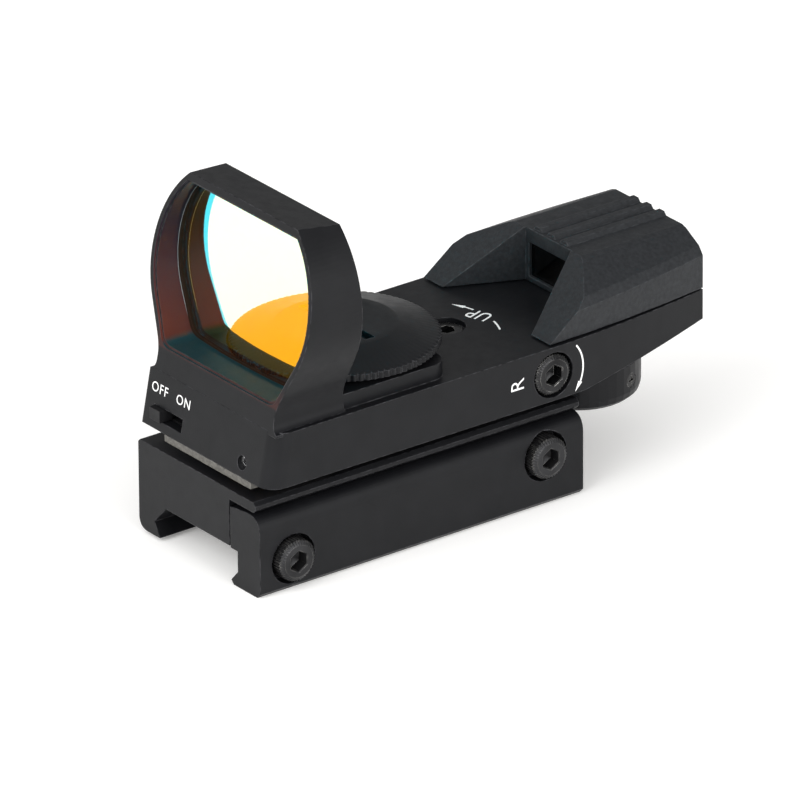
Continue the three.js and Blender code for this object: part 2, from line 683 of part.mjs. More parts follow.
function switchBody() {
  const { left, slotEnd, z } = slider;
  return cut(
    box(left - 0.5, slotEnd + 0.3, -28.1, -24.6, 12.4, 16.0),
    box(left - 0.1, slotEnd, -29, -26.6, z - 1.05, z + 1.05),
  );
}

function powerSwitch() {
  const { left, width, z } = slider;
  return join(
    box(left, left + width, -30.7, -28.2, z - 1.0, z + 1.0),
    box(left + 0.2, left + width - 0.2, -28.3, -26.8, z - 0.85, z + 0.85),
  );
}

function ballBearing() {
  return solid(new THREE.SphereGeometry(0.8, 16, 10).translate(6.4, dial.y, 10.2));
}

function ledEmitter() {
  return join(
    rod('z', 1.7, 27.0, 27.8, 0, dial.y, 24),
    rod('z', 1.45, 24.2, 27.1, 0, dial.y, 24),
    solid(new THREE.SphereGeometry(1.45, 20, 10).translate(0, dial.y, 24.2)),
  );
}

function circuitBoard() {
  return box(-8.1, 8.1, 38.4, 53.0, 27.9, 28.7);
}

function coverFixing(side) {
  return join(
    rod('z', 2.0, 15.5, 16.9, side * coverScrew.x, coverScrew.y),
    rod('z', 0.85, 16.8, 24.4, side * coverScrew.x, coverScrew.y),
  );
}

// Cable centre lines, from the battery well to the board and from the switch to the battery well.
const positiveRun = [
  [-10.0, 1.6, 19.3], [-10.0, 20, 19.3], [-9.9, 38, 19.3],
  [-8.8, 42, 20.2], [-7.8, 45.5, 23], [-7.2, 46.5, 27.7],
];
const negativeRun = [
  [-9.2, 1.6, 19.3], [-9.2, 20, 19.3], [-9.1, 38, 19.3], [-7.8, 41, 20], [-6.8, 43.5, 23], [-6.2, 44, 27.7],
];
const switchRun = [
  [-11.2, -24.4, 15.9], [-11.2, -18, 15.9], [-11.0, -12.6, 15.9], [-9.2, -11.4, 16.1], [-8.8, -11.3, 18.0],
];

// ---- the assembly ----
const group = new THREE.Group();

function add(name, manifold, finish) {
  const mesh = new THREE.Mesh(geometryOf(manifold), finish);
  mesh.name = name;
  group.add(mesh);
}

// on the rail
add('rail_base', railBase(), anodised);
add('pivot_screw', pivotScrew(), blackSteel);
add('pivot_washer', pivotWasher(), brass);
add('windage_post', windagePost(), brightSteel);

// the rail clamp
add('clamp_plate', clampPlate(), anodised);
add('clamp_screw_front', clampScrew(clampScrews.front), blackSteel);
add('clamp_screw_rear', clampScrew(clampScrews.rear), blackSteel);

// turns left and right
add('pivot_plate', pivotPlate(), brownPlate);
add('elevation_spring', solid(coil(2.4, 0.3, 3.45, 4).translate(0, elevation.y, 11.05)), brightSteel);

// the sight itself, tilts up and down
add('optic_housing', housing(), anodised);
add('pivot_pin_left', pivotPin(-1), brightSteel);
add('pivot_pin_right', pivotPin(1), brightSteel);
add('lens_front_element', lensElement(0), glass);
add('lens_rear_element', lensElement(1), glass);
add('rear_cover', rearCover(), moulded);
add('cover_screw_left', coverFixing(-1), blackSteel);
add('cover_screw_right', coverFixing(1), blackSteel);
add('emitter_window', emitterWindow(), clear);
add('circuit_board', circuitBoard(), board);
add('led_emitter', ledEmitter(), led);
add('battery_liner', batteryLiner(), plastic);
add('contact_spring', contactSpring(), brass);
add('contact_clip', contactClip(), brass);
add('wire_positive', cable(positiveRun, 0.3), redCable);
add('wire_negative', cable(negativeRun, 0.3), blackCable);
add('switch_wire', cable(switchRun, 0.3), redCable);
add('switch_body', switchBody(), plastic);
add('windage_plunger', windagePlunger(), brightSteel);
add('windage_spring', windageSpring(), brightSteel);
add('detent_spring', solid(coil(0.6, 0.15, 2.8, 4).translate(6.4, dial.y, 11.15)), brightSteel);
add('detent_ball', ballBearing(), brightSteel);

// worked by hand or with a key
add('power_switch', powerSwitch(), plastic);
add('lock_screw', lockingScrew(), brightSteel);
add('elevation_screw', elevationScrew(), blackSteel);
add('elevation_washer', springWasher('z', 2.45, 1.7, 18.22, 18.56, 0, elevation.y), brightSteel);
add('windage_screw', windageScrew(), blackSteel);
add('windage_washer', springWasher('x', 3.4, 2.15, 13.78, 14.06, windage.y, windage.z), brightSteel);

// the reticle selector
add('reticle_dial', reticleDial(), anodised);
add('dial_screw', dialScrew(), blackSteel);
add('reticle_drum', reticleDrum(), plastic);
add('reticle_film', reticleFilm(), clear);

// the battery and its cap
add('battery_cap', batteryCap(), anodised);
add('cap_seal', capSeal(), rubber);
add('coin_cell', coinCell(), brightSteel);

export default group;
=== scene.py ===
"""Looks for the rail-mounted red dot finder: materials, knurled and engraved pieces, light and camera.

Metres, in the frame of the CAD part: +X clamp side, +Y emitter end, +Z up, origin on the rail seat.
"""

import math

import bmesh
import bpy
from mathutils import Matrix, Vector


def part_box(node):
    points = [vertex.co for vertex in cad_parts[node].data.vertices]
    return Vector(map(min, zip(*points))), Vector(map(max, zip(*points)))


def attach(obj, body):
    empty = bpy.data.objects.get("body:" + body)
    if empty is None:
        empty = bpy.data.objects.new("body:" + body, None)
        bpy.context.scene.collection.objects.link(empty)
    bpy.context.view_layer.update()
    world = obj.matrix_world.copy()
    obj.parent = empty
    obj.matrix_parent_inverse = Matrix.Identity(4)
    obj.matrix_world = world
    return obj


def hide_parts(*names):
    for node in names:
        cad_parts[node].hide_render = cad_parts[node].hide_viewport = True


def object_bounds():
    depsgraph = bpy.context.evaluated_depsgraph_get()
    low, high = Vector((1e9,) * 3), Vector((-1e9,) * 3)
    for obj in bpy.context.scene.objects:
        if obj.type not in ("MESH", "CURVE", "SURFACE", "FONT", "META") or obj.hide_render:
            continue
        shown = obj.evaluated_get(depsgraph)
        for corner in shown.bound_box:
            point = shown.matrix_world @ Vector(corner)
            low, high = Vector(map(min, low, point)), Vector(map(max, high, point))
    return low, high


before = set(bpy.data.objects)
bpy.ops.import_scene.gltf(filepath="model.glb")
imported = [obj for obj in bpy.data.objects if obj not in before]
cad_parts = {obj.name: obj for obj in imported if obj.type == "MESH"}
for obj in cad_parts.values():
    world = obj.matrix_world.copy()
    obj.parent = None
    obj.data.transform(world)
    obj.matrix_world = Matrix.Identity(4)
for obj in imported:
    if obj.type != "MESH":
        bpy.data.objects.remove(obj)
CAD_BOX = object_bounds()

MM = 0.001


def corners(node_name):
    """A CAD node's lowest and highest corners at rest, in millimetres."""
    low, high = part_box(node_name)
    return low / MM, high / MM


# ---- driving dimensions, in millimetres ----
FLOOR_Z = CAD_BOX[0][2] / MM
FRONT_LEAN = 0.193              # the front face leans back this much per unit of height
FRONT_Y = corners("optic_housing")[0].y    # front face at the bottom of the sight
SIGHT_BOTTOM = 12.0
DECK_Z = 21.1
SIDE_X = 16.7
TUNNEL_FLOOR_Z = 25.3           # the sill inside the hood

M4 = {"head": 3.45, "height": 4.0, "shank": 1.98, "socket": 1.5, "pitch": 0.7, "teeth": 40}
WINDAGE_HEAD = 2.8
CAP = {"notches": 90, "notch_depth": 0.34, "under": 24.5, "rim": 25.9, "crown_r": 9.1, "spigot": 12.9}
SLOT = {"reach": 8.2, "half": 0.9, "depth": 1.2, "round": 0.9}
UP_MARK = {"arc_x": 0.3, "arc_y": 10.8, "arc_r": 12.8, "text": (0.0, 22.95), "turn": 18.0}
WINDAGE_ARC_R = 5.9
LENS_RADIUS = 135.0             # both faces of both elements
LENS_FRONT_Y = -22.6            # front of the glass on its axis
LENS_LEAN = 0.09
LENS_AXIS_Z = 38.9
COATING_MIRRORS = (0.86, 0.37, 0.001)
COATING_PASSES = (0.06, 0.72, 0.86)
GLASS_IOR = 1.5
RIM_COLOUR = (0.030, 0.014, 0.008)
PAINTED_BEVEL_HIGHLIGHT = (0.75, 0.76, 0.76)
# painted reflection: the coating's orange and cyan light on the inside of the hood, laid into the anodised
# colour
PAINTED_WALL_REFLECTION = (0.092, 0.019, 0.013)
PAINTED_UPPER_WALL_REFLECTION = (0.020, 0.016, 0.026)
PAINTED_FLOOR_REFLECTION = (0.010, 0.034, 0.040)
WALL_FADE = (28.0, 44.0)        # heights between which the wall's lower painted reflection gives way to the upper
BEVEL_HIGHLIGHT_WIDTH = 0.15                    # width of the painted highlight along the bevelled front edge of the glass
BEVEL_HIGHLIGHT_FROM_Z = 28.0                   # below this height the bevelled edge gets no painted highlight and keeps the rim's dark colour
INK = 0.02                      # how far the printed marks stand off the surface
INK_DEPTH = 0.01                # how far they reach below it
LONGEST_EDGE = 0.5              # printed marks are split to this before they are laid on the surface
CAP_HEIGHT = 0.73               # height of a capital letter as a share of the font's size

# ---- camera ----
AZIMUTH = 53.04
ELEVATION = 24.84
ROLL = -0.38
DISTANCE = 2307.7
AIM = (18.16, -6.36, 21.48)
LENS = 675.0

# ---- light ----
WORLD_DIM = 0.40                # from behind the object
WORLD_BRIGHT = 1.50             # from the camera's side
BRIGHT_SIDE = (0.6, -0.8, -0.1)
FLOOR_COLOUR = (0.93, 0.925, 0.915)
FLOOR_GLOW = 0.17               # the light table under the object lifts its shadow


# ---- node helpers ----
def new_material(name):
    material = bpy.data.materials.new(name)
    material.use_nodes = True
    tree = material.node_tree
    tree.nodes.clear()
    return material, tree


def node(tree, kind, **inputs):
    made = tree.nodes.new(kind)
    for key, value in inputs.items():
        made.inputs[key.replace("_", " ")].default_value = value
    return made


def noise(tree, scale, detail=3.0, roughness=0.5):
    """A noise texture in the part's own space. scale is in features per metre."""
    place = tree.nodes.new("ShaderNodeTexCoord")
    made = node(tree, "ShaderNodeTexNoise", Scale=scale, Detail=detail, Roughness=roughness)
    tree.links.new(place.outputs["Object"], made.inputs["Vector"])
    return made.outputs["Fac"]


def spread(tree, value, low, high, from_low=0.3, from_high=0.7):
    """Maps a value onto low..high."""
    made = tree.nodes.new("ShaderNodeMapRange")
    made.inputs["From Min"].default_value = from_low
    made.inputs["From Max"].default_value = from_high
    made.inputs["To Min"].default_value = low
    made.inputs["To Max"].default_value = high
    tree.links.new(value, made.inputs["Value"])
    return made.outputs["Result"]


def mix_colour(tree, factor, first, second):
    """Mixes two colours, each given as numbers or as another node's output."""
    made = tree.nodes.new("ShaderNodeMix")
    made.data_type = "RGBA"
    for colour, socket in ((first, made.inputs[6]), (second, made.inputs[7])):
        if isinstance(colour, tuple):
            socket.default_value = (*colour, 1)
        else:
            tree.links.new(colour, socket)
    tree.links.new(factor, made.inputs[0])
    return made.outputs[2]


def maths(tree, operation, first, second=None):
    """Arithmetic on one value or two. The second may be a plain number."""
    made = tree.nodes.new("ShaderNodeMath")
    made.operation = operation
    tree.links.new(first, made.inputs[0])
    if isinstance(second, float):
        made.inputs[1].default_value = second
    elif second is not None:
        tree.links.new(second, made.inputs[1])
    return made.outputs[0]


def vector_maths(tree, operation, first, second=None):
    """Arithmetic on one vector or two. The second may be a plain Vector."""
    made = tree.nodes.new("ShaderNodeVectorMath")
    made.operation = operation
    tree.links.new(first, made.inputs[0])
    if isinstance(second, Vector):
        made.inputs[1].default_value = second
    elif second is not None:
        tree.links.new(second, made.inputs[1])
    return made


def mix_shaders(tree, factor, first, second):
    made = tree.nodes.new("ShaderNodeMixShader")
    tree.links.new(factor, made.inputs[0])
    tree.links.new(first.outputs[0], made.inputs[1])
    tree.links.new(second.outputs[0], made.inputs[2])
    return made


def add_shaders(tree, first, second):
    made = tree.nodes.new("ShaderNodeAddShader")
    tree.links.new(first.outputs[0], made.inputs[0])
    tree.links.new(second.outputs[0], made.inputs[1])
    return made


def split(tree, vector):
    """The x, y and z of a vector, as outputs named X, Y and Z."""
    made = tree.nodes.new("ShaderNodeSeparateXYZ")
    tree.links.new(vector, made.inputs["Vector"])
    return made.outputs


def show(tree, shader):
    """Makes a shader the surface of its material."""
    tree.links.new(shader.outputs[0], tree.nodes.new("ShaderNodeOutputMaterial").inputs["Surface"])


def edge_mask(tree, radius_mm):
    """1 along edges sharper than the radius, 0 on flats, and the rounded normal itself."""
    rounded = tree.nodes.new("ShaderNodeBevel")
    rounded.samples = 6
    rounded.inputs["Radius"].default_value = radius_mm * MM
    geometry = tree.nodes.new("ShaderNodeNewGeometry")
    dot = vector_maths(tree, "DOT_PRODUCT", rounded.outputs["Normal"], geometry.outputs["Normal"])
    return spread(tree, dot.outputs["Value"], 1.0, 0.0, 0.90, 0.995), rounded.outputs["Normal"]


def finished(name, dark, light, roughness, metallic=0.0, grain=2500, bump=0.05, edge_wear_and_highlight=None, edge_wear_and_highlight_share=0.5,
             edge_mm=0.15, specular=0.5, mottle=220, over=None):
    """A surface with mottled colour and roughness, a fine grain, softened edges and optional lighter edges,
    which stand for worn edges and, on some finishes, a painted edge highlight.
    """
    material, tree = new_material(name)
    shader = node(tree, "ShaderNodeBsdfPrincipled", Metallic=metallic, Specular_IOR_Level=specular)
    colour = mix_colour(tree, spread(tree, noise(tree, mottle), 0, 1), dark, light)
    edges, soft_normal = edge_mask(tree, edge_mm)
    if edge_wear_and_highlight:
        patches = spread(tree, noise(tree, 900, 5), 0, edge_wear_and_highlight_share, 0.4, 0.6)
        # lighter edges: worn edges, and on some finishes a painted edge highlight
        colour = mix_colour(tree, maths(tree, "MULTIPLY", edges, patches), colour, edge_wear_and_highlight)
    if over:
        colour = over(tree, colour)
    tree.links.new(colour, shader.inputs["Base Color"])
    low, high = roughness
    tree.links.new(spread(tree, noise(tree, 600, 4), low, high), shader.inputs["Roughness"])
    relief = node(tree, "ShaderNodeBump", Strength=bump, Distance=0.00005)
    tree.links.new(noise(tree, grain, 2), relief.inputs["Height"])
    tree.links.new(soft_normal, relief.inputs["Normal"])
    tree.links.new(relief.outputs["Normal"], shader.inputs["Normal"])
    show(tree, shader)
    return material


def painted_tunnel_reflection(tree, colour):
    """Paints the coating's reflected light into the colour inside the hood, ahead of the glass: a painted
    reflection, teal on the floor and red on the side faces.
    """
    geometry = tree.nodes.new("ShaderNodeNewGeometry")
    place = split(tree, geometry.outputs["Position"])
    facing = split(tree, geometry.outputs["True Normal"])
    # a face looks inwards when its place, taken from the hood's axis, and its normal point opposite ways
    across = maths(tree, "MULTIPLY", place["X"], facing["X"])
    height = maths(tree, "SUBTRACT", place["Z"], LENS_AXIS_Z * MM)
    upright = maths(tree, "MULTIPLY", height, facing["Z"])
    inward = spread(tree, maths(tree, "ADD", across, upright), 1.0, 0.0, -4 * MM, -2 * MM)
    above = spread(tree, place["Z"], 0.0, 1.0, (TUNNEL_FLOOR_Z - 0.7) * MM, (TUNNEL_FLOOR_Z - 0.3) * MM)
    ahead = spread(tree, place["Y"], 1.0, 0.0, (LENS_FRONT_Y + 1) * MM, (LENS_FRONT_Y + 3) * MM)
    inside = maths(tree, "MULTIPLY", maths(tree, "MULTIPLY", inward, above), ahead)
    low_wall = spread(tree, place["Z"], 1.0, 0.0, WALL_FADE[0] * MM, WALL_FADE[1] * MM)
    wall_reflection = mix_colour(tree, low_wall, PAINTED_UPPER_WALL_REFLECTION, PAINTED_WALL_REFLECTION)
    level = spread(tree, facing["Z"], 0.0, 1.0, 0.6, 0.9)
    return mix_colour(tree, inside, colour, mix_colour(tree, level, wall_reflection, PAINTED_FLOOR_REFLECTION))


def lens_faces(tree):
    """The exact spherical normal, turned to the viewer, and masks for the rim, the painted highlight on the
    bevelled edge and the rear face.
    """
    lean = math.atan(LENS_LEAN)
    to_centre = Vector((0, math.cos(lean), -math.sin(lean))) * LENS_RADIUS
    centre = Vector((0, LENS_FRONT_Y, LENS_AXIS_Z)) + to_centre
    geometry = tree.nodes.new("ShaderNodeNewGeometry")
    away = vector_maths(tree, "SUBTRACT", geometry.outputs["Position"], centre * MM)
    radial = vector_maths(tree, "NORMALIZE", away.outputs["Vector"])
    towards = vector_maths(tree, "DOT_PRODUCT", radial.outputs["Vector"], geometry.outputs["Incoming"])
    turned = vector_maths(tree, "SCALE", radial.outputs["Vector"])
    tree.links.new(maths(tree, "SIGN", towards.outputs["Value"]), turned.inputs["Scale"])
    along = vector_maths(tree, "DOT_PRODUCT", radial.outputs["Vector"], geometry.outputs["True Normal"])
    rim = spread(tree, maths(tree, "ABSOLUTE", along.outputs["Value"]), 1.0, 0.0, 0.55, 0.6)
    inside = spread(tree, geometry.outputs["Backfacing"], 1.0, -1.0, 0.0, 1.0)
    outward = maths(tree, "MULTIPLY", along.outputs["Value"], inside)
    rear = spread(tree, outward, 1.0, 0.0, -0.1, 0.1)
    distance = vector_maths(tree, "LENGTH", away.outputs["Vector"])
    edge = spread(tree, distance.outputs["Value"], 0.0, 1.0,
                  (LENS_RADIUS - BEVEL_HIGHLIGHT_WIDTH) * MM, (LENS_RADIUS - 0.8 * BEVEL_HIGHLIGHT_WIDTH) * MM)
    height = split(tree, geometry.outputs["Position"])["Z"]
    bevel = maths(tree, "MULTIPLY", edge, spread(tree, height, 0.0, 1.0, BEVEL_HIGHLIGHT_FROM_Z * MM, (BEVEL_HIGHLIGHT_FROM_Z + 2) * MM))
    return turned.outputs["Vector"], rim, bevel, rear


def lens_glass(name, coated):
    """Optical glass that bends what is seen through it, with a dark ground rim and a painted highlight along
    its bevelled front edge, above a given height.

    A coated element's rear face mirrors orange and passes the rest, a pale cyan, as a dichroic coating does.
    """
    material, tree = new_material(name)
    normal, rim, bevel, rear = lens_faces(tree)
    passes = COATING_PASSES if coated else (0.99, 0.99, 0.99)
    streaks = spread(tree, noise(tree, 18, 1), 0, 1)
    rear_tint = mix_colour(tree, streaks, passes, tuple(0.97 * c for c in passes))
    tint = mix_colour(tree, rear, (1.0, 1.0, 1.0), rear_tint)
    seen = node(tree, "ShaderNodeBsdfRefraction", Roughness=0.0, IOR=GLASS_IOR)
    tree.links.new(normal, seen.inputs["Normal"])
    tree.links.new(tint, seen.inputs["Color"])
    if coated:
        strength = mix_colour(tree, rear, (0.002, 0.002, 0.002), COATING_MIRRORS)
        mirror = node(tree, "ShaderNodeBsdfGlossy", Roughness=0.0)
        tree.links.new(strength, mirror.inputs["Color"])
        tree.links.new(normal, mirror.inputs["Normal"])
        seen = add_shaders(tree, seen, mirror)
    ground = node(tree, "ShaderNodeBsdfDiffuse")
    # painted highlight: a pale colour along the upper part of the bevelled edge, with the rest of the rim
    # left dark
    tree.links.new(mix_colour(tree, bevel, RIM_COLOUR, PAINTED_BEVEL_HIGHLIGHT), ground.inputs["Color"])
    seen = mix_shaders(tree, rim, seen, ground)
    # light falls straight through, so that the glass casts only a faint tinted shadow
    straight = tree.nodes.new("ShaderNodeBsdfTransparent")
    tree.links.new(tint, straight.inputs["Color"])
    path = tree.nodes.new("ShaderNodeLightPath")
    either = maths(tree, "MAXIMUM", path.outputs["Is Shadow Ray"], path.outputs["Is Diffuse Ray"])
    show(tree, mix_shaders(tree, either, seen, straight))
    return material


def clear_glass(name, tint, strength=0.06):
    """Thin clear material: passes light with a faint mirror sheen that strengthens at a slant."""
    material, tree = new_material(name)
    through = tree.nodes.new("ShaderNodeBsdfTransparent")
    clouds = spread(tree, noise(tree, 60, 1), 0, 1)
    tree.links.new(mix_colour(tree, clouds, tint, tuple(0.96 * c for c in tint)), through.inputs["Color"])
    mirror = node(tree, "ShaderNodeBsdfGlossy", Roughness=0.03)
    slant = node(tree, "ShaderNodeLayerWeight", Blend=strength * 4)
    show(tree, mix_shaders(tree, slant.outputs["Fresnel"], through, mirror))
    return material


# ---- materials ----
# the anodised finish's lighter edges are worn edges and a painted highlight along the edges; inside the hood
# it also carries the painted reflection of the coating
anodised = finished(
    "anodised", (0.0052, 0.0054, 0.0064), (0.0072, 0.0074, 0.0086), (0.34, 0.42), grain=5000, bump=0.2,
    edge_wear_and_highlight=(0.10, 0.10, 0.108), edge_wear_and_highlight_share=0.6, edge_mm=0.22, specular=0.17, over=painted_tunnel_reflection)
moulded = finished(
    "moulded", (0.0085, 0.0095, 0.0112), (0.0165, 0.018, 0.0205), (0.42, 0.56), grain=5000, bump=0.7,
    edge_wear_and_highlight=(0.075, 0.08, 0.088), edge_wear_and_highlight_share=0.6, edge_mm=0.28, specular=0.28, mottle=1600)
black_steel = finished(
    "black_steel", (0.018, 0.018, 0.019), (0.038, 0.038, 0.040), (0.28, 0.40), metallic=0.6, grain=6000,
    bump=0.12, edge_wear_and_highlight=(0.30, 0.29, 0.27), edge_wear_and_highlight_share=0.75, edge_mm=0.12, specular=0.25)
# the bright rings on these screw heads are worn steel and painted glints
worn_steel_with_painted_glints = finished(
    "worn_steel_with_painted_glints", (0.010, 0.010, 0.011), (0.030, 0.030, 0.031), (0.20, 0.34), metallic=0.8, grain=5000,
    bump=0.15, edge_wear_and_highlight=(0.45, 0.44, 0.42), edge_wear_and_highlight_share=0.9, edge_mm=0.14)
bright_steel = finished(
    "bright_steel", (0.42, 0.42, 0.43), (0.60, 0.60, 0.61), (0.18, 0.34), metallic=1.0, grain=5000,
    bump=0.08, edge_mm=0.08)
brown_plate = finished(
    "brown_plate", (0.085, 0.081, 0.074), (0.165, 0.158, 0.143), (0.45, 0.8), metallic=0.3, grain=2200,
    bump=0.9, edge_wear_and_highlight=(0.4, 0.39, 0.36), edge_wear_and_highlight_share=0.9, edge_mm=0.16, mottle=1500)
brass = finished("brass", (0.50, 0.34, 0.13), (0.68, 0.48, 0.20), (0.22, 0.38), metallic=1.0, edge_mm=0.06)
black_plastic = finished(
    "black_plastic", (0.007, 0.007, 0.008), (0.011, 0.011, 0.012), (0.42, 0.56), grain=6000, bump=0.2,
    edge_mm=0.12, specular=0.2)
green_board = finished("green_board", (0.010, 0.085, 0.030), (0.018, 0.125, 0.045), (0.25, 0.4), edge_mm=0.05)
led_red = finished("led_red", (0.40, 0.02, 0.01), (0.55, 0.04, 0.02), (0.08, 0.16), edge_mm=0.05)
rubber = finished("rubber", (0.010, 0.010, 0.010), (0.016, 0.016, 0.016), (0.7, 0.85), grain=3000, bump=0.3)
red_cable = finished("red_cable", (0.34, 0.015, 0.012), (0.44, 0.03, 0.02), (0.4, 0.5))
black_cable = finished("black_cable", (0.012, 0.012, 0.012), (0.02, 0.02, 0.02), (0.4, 0.5))
ink = finished("ink", (0.78, 0.78, 0.77), (0.86, 0.86, 0.85), (0.5, 0.62), grain=4000, bump=0.1, edge_mm=0.02)
pane = clear_glass("pane", (0.30, 0.33, 0.34), 0.12)
film = clear_glass("film", (0.35, 0.36, 0.38))
lens_front = lens_glass("lens_front", False)
lens_coating = lens_glass("lens_coating", True)

FINISHES = {
    anodised: ["rail_base", "clamp_plate", "optic_housing", "reticle_dial"],
    moulded: ["rear_cover"],
    black_steel: ["pivot_screw", "cover_screw_left", "cover_screw_right"],
    worn_steel_with_painted_glints: ["elevation_screw", "dial_screw"],
    bright_steel: ["windage_post", "elevation_spring", "pivot_pin_left", "pivot_pin_right", "windage_plunger",
                   "windage_spring", "detent_spring", "detent_ball", "lock_screw", "elevation_washer",
                   "windage_washer", "coin_cell"],
    brown_plate: ["pivot_plate"],
    brass: ["pivot_washer", "contact_spring", "contact_clip"],
    lens_front: ["lens_front_element"],
    lens_coating: ["lens_rear_element"],
    pane: ["emitter_window"],
    film: ["reticle_film"],
    black_plastic: ["battery_liner", "switch_body", "power_switch", "reticle_drum"],
    green_board: ["circuit_board"],
    led_red: ["led_emitter"],
    rubber: ["cap_seal"],
    red_cable: ["wire_positive", "switch_wire"],
    black_cable: ["wire_negative"],
}


def smooth_by_angle(mesh, degrees=32):
    """Shades round faces smooth and keeps edges sharper than the angle crisp."""
    work = bmesh.new()
    work.from_mesh(mesh)
    limit = math.radians(degrees)
    for face in work.faces:
        face.smooth = True
    for edge in work.edges:
        edge.smooth = len(edge.link_faces) == 2 and edge.calc_face_angle(math.pi) < limit
    work.to_mesh(mesh)
    work.free()


def dress_cad_nodes():
    for material, names in FINISHES.items():
        for name in names:
            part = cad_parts[name]
            part.data.materials.clear()
            part.data.materials.append(material)
            smooth_by_angle(part.data)


# ---- mesh helpers ----
def piece(name, mesh_data, material, body):
    """A new piece that rides on a body. Printed marks have no slot, since no CAD node carries ink."""
    made = bpy.data.objects.new(name, mesh_data)
    bpy.context.scene.collection.objects.link(made)
    mesh_data.materials.append(material)
    smooth_by_angle(mesh_data)
    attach(made, body)
    return made


def turned_rings(rings, sides):
    """A closed mesh about z through rings of (height, radius), in millimetres.

    A radius is a number, or a function of the angle and the side's number.
    """
    work = bmesh.new()
    loops = []
    for height, radius in rings:
        loop = []
        for i in range(sides):
            angle = 2 * math.pi * i / sides
            r = radius(angle, i) if callable(radius) else radius
            loop.append(work.verts.new((r * math.cos(angle) * MM, r * math.sin(angle) * MM, height * MM)))
        loops.append(loop)
    for lower, upper in zip(loops, loops[1:]):
        for i in range(sides):
            j = (i + 1) % sides
            work.faces.new((lower[i], lower[j], upper[j], upper[i]))
    work.faces.new(list(reversed(loops[0])))
    work.faces.new(loops[-1])
    bmesh.ops.recalc_face_normals(work, faces=work.faces)
    return work


def to_mesh(work, name, matrix=None):
    data = bpy.data.meshes.new(name)
    if matrix is not None:
        work.transform(matrix)
    work.to_mesh(data)
    work.free()
    return data


def along_x(x, y, z):
    """Turns something built about z to point along +x, and moves it to x, y, z in millimetres."""
    return Matrix.Translation(Vector((x, y, z)) * MM) @ Matrix.Rotation(math.pi / 2, 4, "Y")


def screw_mesh(name, head_height, length, place):
    """A knurled M4 socket head cap screw, its face at height 0 and its thread running down to -length."""
    head_r = M4["head"]
    shank_r = M4["shank"]
    socket = M4["socket"]
    pitch = M4["pitch"]

    def knurl(radius):
        return lambda angle, i: radius - (0.0, 0.10, 0.22, 0.10)[i % 4]

    def hexagon(across):
        half = math.pi / 6
        return lambda angle, i: across / math.cos((angle % (2 * half)) - half)

    neck = -head_height
    rings = [(-length, shank_r - 0.45), (-length + 0.35, shank_r - 0.25)]
    turns = int((length - head_height - 0.8) / pitch)
    for t in range(turns):
        foot = -length + 0.4 + pitch * t
        rings += [(foot, shank_r - 0.25), (foot + 0.28, shank_r), (foot + 0.42, shank_r)]
    rings += [
        (neck, shank_r - 0.1),
        (neck, head_r - 0.3),
        (neck + 0.12, knurl(head_r - 0.05)),
        (neck + 0.25, knurl(head_r)),
        (-0.50, knurl(head_r)),
        (-0.12, knurl(head_r - 0.42)),
        (0.0, head_r - 0.78),
        (-0.03, head_r - 0.95),
        (0.0, hexagon(socket + 0.16)),
        (-0.14, hexagon(socket)),
        (-2.1, hexagon(socket)),
        (-2.5, 0.4),
    ]
    return to_mesh(turned_rings(rings, 4 * M4["teeth"]), name, place)


def knurled_screw(node_name, head_height, material, body):
    """A screw that points along +x and stands for a CAD node, at that node's place and length."""
    low, high = corners(node_name)
    middle = (low + high) / 2
    name = node_name + "_knurled"
    mesh = screw_mesh(name, head_height, high.x - low.x, along_x(high.x, middle.y, middle.z))
    made = piece(name, mesh, material, body)
    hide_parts(node_name)


def screws():
    knurled_screw("clamp_screw_front", M4["height"], black_steel, "front_clamp_screw")
    knurled_screw("clamp_screw_rear", M4["height"], black_steel, "rear_clamp_screw")
    knurled_screw("windage_screw", WINDAGE_HEAD, worn_steel_with_painted_glints, "windage_adjuster")


def battery_cap():
    """The battery cap: fine notches round the rim, a shallow cone, and a coin slot."""
    low, high = corners("battery_cap")
    middle = (low + high) / 2
    radius = high.x
    crown = high.z
    depth = CAP["notch_depth"]

    def notched(outer, cut):
        return lambda angle, i: outer - cut * (0.0, 0.25, 1.0, 0.25)[i % 4]

    rings = [
        (low.z, CAP["spigot"] - 0.3),
        (low.z + 0.3, CAP["spigot"]),
        (CAP["under"], CAP["spigot"]),
        (CAP["under"], radius - 0.5),
        (CAP["under"] + 0.2, notched(radius, depth)),
        (CAP["rim"] - 0.15, notched(radius, depth)),
        (CAP["rim"], notched(radius - 0.25, depth * 0.6)),
        (CAP["rim"] + 0.1, radius - 0.75),
        (crown - 0.1, CAP["crown_r"] + 0.35),
        (crown, CAP["crown_r"]),
        (crown, CAP["crown_r"] - 1.5),
    ]
    name = "battery_cap_knurled"
    turned = turned_rings(rings, 4 * CAP["notches"])
    mesh = to_mesh(turned, name, Matrix.Translation(Vector((0, middle.y, 0)) * MM))
    made = piece(name, mesh, anodised, "cap")
    apply_boolean(made, slot_cutter(Vector((0, middle.y, crown))))
    smooth_by_angle(made.data)
    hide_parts("battery_cap")


